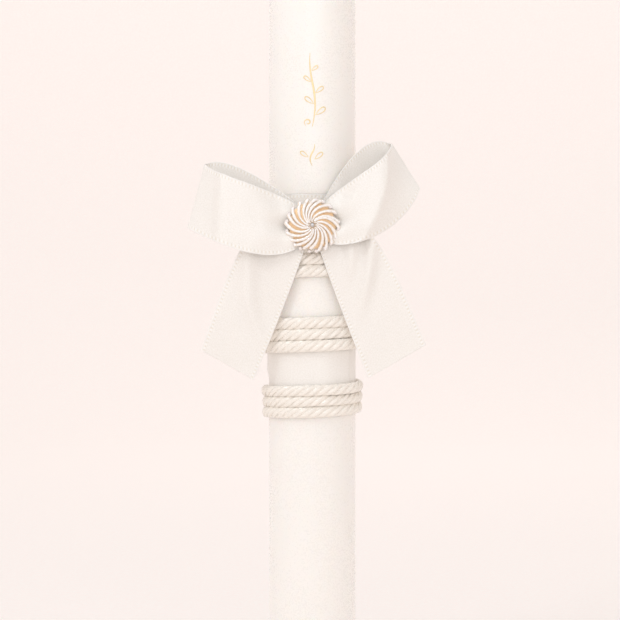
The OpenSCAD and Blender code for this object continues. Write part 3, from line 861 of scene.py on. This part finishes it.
def wound_cord(node, seed):
    """Three plies twisted into a cord, wound three times round the candle. The cord's
    middle is a helix; each ply circles it once in every lead, and the whole section is
    pressed flat against the wax. Each ply has five yarn ridges that twist the other way,
    and a flat core fills the cord's middle out to its neighbours."""
    low, high = box_mm(node)
    lead, press, sides = 12.3, cord_t / cord_w, 16
    ply_r, ply_out = 1.3, 1.16
    yarns, yarn_relief, yarn_lead = 5, 0.1, 7.5
    turn_pitch = (high[2] - low[2] - cord_w) / cord_sweep * TAU
    core_out, core_up = 0.75, turn_pitch * 0.505
    spread = 1.03 * turn_pitch / (2 * (ply_r + ply_out))
    mean_r = candle_r + cord_t / 2
    along = np.arange(0, cord_sweep * mean_r, 0.6)
    a = cord_start + along / mean_r
    rise = (high[2] - low[2] - cord_w) * along / along[-1]
    wander = ripple(along, 0 * along, seed, 22) * 0.22
    z = low[2] + cord_w / 2 + rise + wander * np.sin(math.pi * along / along[-1])
    out = np.stack([np.cos(a), np.sin(a), 0 * a], -1)
    up = np.array([0, 0, 1.0])
    r = seat_r(z, a) + cord_t / 2
    shell = Shell()
    for k in range(3):
        phase = TAU * (along / lead + k / 3) + 0.3 * ripple(along, 0 * along, seed + 1, 30)
        swing_out, swing_up = ply_out * np.cos(phase), ply_out * np.sin(phase)
        ring = np.linspace(0, TAU, sides, endpoint=False)
        yarn = np.cos(yarns * ring[None, :] + TAU * along[:, None] / yarn_lead)
        rim = ply_r * (1 + yarn_relief * yarn)
        local_out = swing_out[:, None] + rim * np.cos(ring)[None, :]
        local_up = (swing_up[:, None] - rim * np.sin(ring)[None, :]) * spread
        radial = r[:, None] + local_out * press
        grid = radial[..., None] * out[:, None, :] + (z[:, None] + local_up)[..., None] * up
        shell.add(grid, np.linspace(0, 1, sides + 1), along, caps="fan", round_trip=True)
    ring = np.linspace(0, TAU, 24, endpoint=False)
    radial = r[:, None] + core_out * np.cos(ring)[None, :]
    height = z[:, None] - core_up * np.sin(ring)[None, :]
    grid = radial[..., None] * out[:, None, :] + height[..., None] * up
    shell.add(grid, np.linspace(0, 1, 25), along, caps="fan", round_trip=True)
    return shell.piece(node + "_plies", cord_silk, "twisted_cord", node)


# ---------------------------------------------------------------- rosette

disc_edge = 0.8
disc_front = -disc_high[1] + disc_edge
dome_h = (disc_high[1] - disc_low[1]) - disc_edge
strand_count = 20
strand_sweep = math.radians(62)


def on_rosette(x, y, height):
    """Points given across the rosette and by height over the disc's flat rim."""
    return np.stack([x, -(disc_front + height), waist_z + y], -1)


def dome(r):
    """Height of the domed disc over its rim, at radius r."""
    return dome_h * (1 - (r / disc_r) ** 2)


def bead_strands():
    """Pinwheel of pearly strands: each path runs out from the centre over the dome and
    down past the rim while it turns clockwise. A strand's section is a slightly two-lobed
    ring that twists along it, and it swells and pinches a little for each of its beads.
    Eight seed beads ring the centre."""
    first_r, beads, sides = 1.9, 6, 12
    seeds, seed_r, seed_ring_r = 8, 0.55, 1.55
    t = np.linspace(0, 1, 61)
    ring = np.linspace(0, TAU, sides, endpoint=False)
    shell = Shell()
    rng = np.random.default_rng(8)
    for k in range(strand_count):
        start = TAU * k / strand_count + rng.uniform(-0.07, 0.07)
        hidden_end = bell((start - math.radians(325)) / math.radians(22))
        reach = disc_r + 1.75 + rng.uniform(-0.25, 0.25) - 1.3 * hidden_end
        swell = 0.34 + 0.6 * t ** 0.8
        r = first_r + (reach - first_r) * t
        a = start - strand_sweep * t ** rng.uniform(0.75, 1.1)
        bead = np.cos(TAU * (beads * t + rng.uniform(0, 1)))
        tip = np.sqrt(np.clip(1 - ((t - 0.93) / 0.07).clip(0) ** 2, 0.02, 1))
        lobes = 1 + 0.09 * np.cos(2 * ring[None, :] + 9 * t[:, None] + rng.uniform(0, 6))
        radius = (swell * (0.98 + 0.07 * bead) * tip)[:, None] * lobes
        drop = 0.9 * ease((r - disc_r + 1.2) / 3)
        height = dome(np.minimum(r, disc_r)) + (0.55 + rng.uniform(-0.1, 0.3)) * swell - drop
        path = on_rosette(r * np.cos(a), r * np.sin(a), height)
        heading = unit(np.gradient(path, axis=0))
        front = np.broadcast_to(np.array([0, -1.0, 0]), heading.shape)
        across = unit(np.cross(heading, front))
        shell.add(tube(path, across, unit(np.cross(across, heading)), sides, radius),
                  None, t, caps="fan", round_trip=True)
    for a in np.linspace(0, TAU, seeds, endpoint=False):
        x, y = seed_ring_r * math.cos(a), seed_ring_r * math.sin(a)
        ball(shell, on_rosette(x, y, dome_h + 0.3), seed_r, 7, 10)
    return shell.piece("rosette_bead_strands", pearl_strand, "bead_strand", "rosette_strands")


def ball(shell, centre, radius, rings=10, sides=14):
    """Adds a bead: circles of latitude about the viewing direction, closed at both poles."""
    lat = np.linspace(-math.pi / 2 + 0.05, math.pi / 2 - 0.05, rings)
    path = centre + np.sin(lat)[:, None] * radius * np.array([0, -1.0, 0])
    up = np.broadcast_to(np.array([1.0, 0, 0]), path.shape)
    across = np.cross(np.array([0, -1.0, 0]), up)
    shell.add(tube(path, across, up, sides, (np.cos(lat) * radius)[:, None]), caps="fan",
              round_trip=True)


def rim_pearls():
    """Pearls round the disc's rim, one at the end of each strand, of uneven sizes."""
    pearl_r = 1.0
    shell = Shell()
    rng = np.random.default_rng(5)
    for k in range(strand_count):
        a = TAU * k / strand_count - strand_sweep + rng.uniform(-0.04, 0.04)
        size = pearl_r * rng.uniform(0.78, 1.0)
        r = disc_r + pearl_r + 0.05 + (pearl_r - size) * 0.5
        ball(shell, on_rosette(r * math.cos(a), r * math.sin(a), -disc_edge / 2), size)
    return shell.piece("rosette_pearls", pearl, "rim_pearl", "rosette_rim_pearls")


def centre_bead():
    """Small silver bead seated in the ring of seed beads."""
    radius = (bead_high[0] - bead_low[0]) / 2
    shell = Shell()
    ball(shell, on_rosette(0, 0, dome_h + radius), radius, 16, 24)
    return shell.piece("rosette_silver_bead", silver, "silver_bead", "rosette_centre_bead")


# ---------------------------------------------------------------- make the pieces

dipped_coat()
braided_wick()
gold_sprigs()
ribbon_band("lower_band_satin", "lower_ribbon_band", lower_seam, lower_slack)
ribbon_band("upper_band_satin", "upper_ribbon_band", upper_seam, no_slack)
for seed, node in enumerate(("lower_cord_wrap", "middle_cord_wrap", "upper_cord_wrap")):
    wound_cord(node, 60 + 7 * seed)
bow_tails()
bow_loops()
bead_strands()
rim_pearls()
centre_bead()

for node, material in (("wax_core", cast_wax), ("lower_band_tape", tape_paper),
                       ("upper_band_tape", tape_paper), ("cord_end_glue", glue),
                       ("bow_glue_pad", glue), ("bow_tie_thread", thread_cotton),
                       ("rosette_glue", glue), ("rosette_disc", champagne)):
    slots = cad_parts[node].data.materials
    slots.clear()
    slots.append(material)

# ---------------------------------------------------------------- camera, stage and light

camera_data = bpy.data.cameras.new("camera")
camera_data.lens = 75.3
camera_data.clip_start = 0.01
camera = bpy.data.objects.new("camera", camera_data)
camera.location = (-0.00106, -0.6, 0.2)
camera.rotation_euler = (math.pi / 2, 0, 0)
bpy.context.scene.collection.objects.link(camera)
bpy.context.scene.camera = camera


def studio_bowl():
    """Pale floor that sweeps up into a round wall: a lathe of a flat disc, a quarter
    circle and a straight wall, in metres."""
    floor_r, sweep_r, wall_h, sides = 1.3, 0.9, 1.6, 96
    quarter = np.linspace(0, math.pi / 2, 25)
    profile = [(0.001, 0), (0.4, 0), (0.9, 0)]
    profile += [(floor_r + sweep_r * math.sin(q), sweep_r * (1 - math.cos(q))) for q in quarter]
    profile += [(floor_r + sweep_r, sweep_r + wall_h)]
    profile = np.array(profile)
    a = np.linspace(0, TAU, sides, endpoint=False)
    grid = np.stack([profile[:, :1] * np.cos(a), profile[:, :1] * np.sin(a),
                     np.broadcast_to(profile[:, 1:], (len(profile), sides))], -1)
    i, j = np.meshgrid(np.arange(len(profile) - 1), np.arange(sides), indexing="ij")
    i, j = i.ravel() * sides, j.ravel()
    b = (j + 1) % sides
    quads = np.stack([i + j, i + sides + j, i + sides + b, i + b], -1)
    mesh = bpy.data.meshes.new("studio_bowl")
    mesh.from_pydata(grid.reshape(-1, 3).tolist(), [], quads.tolist())
    mesh.shade_smooth()

    def detail(wire, place, surface):
        plaster = wire.noise(place, 0.3, 3.0, 0.8)
        return {"Base Color": plaster.blend((0.64, 0.59, 0.57), (0.76, 0.71, 0.69)),
                "Roughness": 0.8 + wire.noise(place, 0.02) * 0.15}

    mesh.materials.append(finish_of("pale_backdrop", (0.70, 0.65, 0.63), {
        "Specular IOR Level": 0.1, "Emission Color": (1.0, 0.97, 0.95, 1),
        "Emission Strength": 0.31}, detail))
    bowl = bpy.data.objects.new("studio_bowl", mesh)
    bpy.context.scene.collection.objects.link(bowl)


studio_bowl()


def soft_light(name, place, size, power, colour, target=(0, 0, 0.22)):
    """Rectangular soft light that faces the candle, or another place."""
    data = bpy.data.lights.new(name, "AREA")
    data.shape, data.size, data.size_y = "RECTANGLE", size[0], size[1]
    data.energy, data.color = power, colour
    light = bpy.data.objects.new(name, data)
    light.location = place
    light.visible_camera = False
    light.rotation_euler = (Vector(target) - Vector(place)).to_track_quat("-Z", "Y").to_euler()
    bpy.context.scene.collection.objects.link(light)


soft_light("key_light", (-0.38, -0.38, 0.42), (0.22, 0.85), 0.06, (0.86, 0.95, 1.0))
soft_light("front_light", (0.05, -1.7, 0.75), (1.3, 0.9), 3.6, (0.78, 0.915, 1.0))
soft_light("spark_light", (-0.42, -0.55, 0.78), (0.12, 0.12), 0.8, (0.85, 0.94, 1.0))
soft_light("fill_light", (0.9, -1.4, 0.5), (0.8, 0.8), 0.5, (1.0, 0.97, 0.93))
soft_light("top_light", (-0.2, -0.5, 1.3), (0.8, 0.5), 2.3, (0.84, 0.94, 1.0))
soft_light("back_light", (0.3, 1.2, 1.1), (0.9, 0.9), 1.5, (1.0, 0.97, 0.95))
soft_light("wall_wash", (0, 0.9, 1.9), (1.6, 0.5), 7.2, (1.0, 0.93, 0.9), (0, 2.4, 0.5))

world = bpy.data.worlds.new("soft_room")
world.use_nodes = True
room = world.node_tree.nodes["Background"].inputs
room["Color"].default_value = (1.0, 0.975, 0.94, 1)
room["Strength"].default_value = 0.46
bpy.context.scene.world = world
bpy.context.scene.view_settings.view_transform = "Standard"
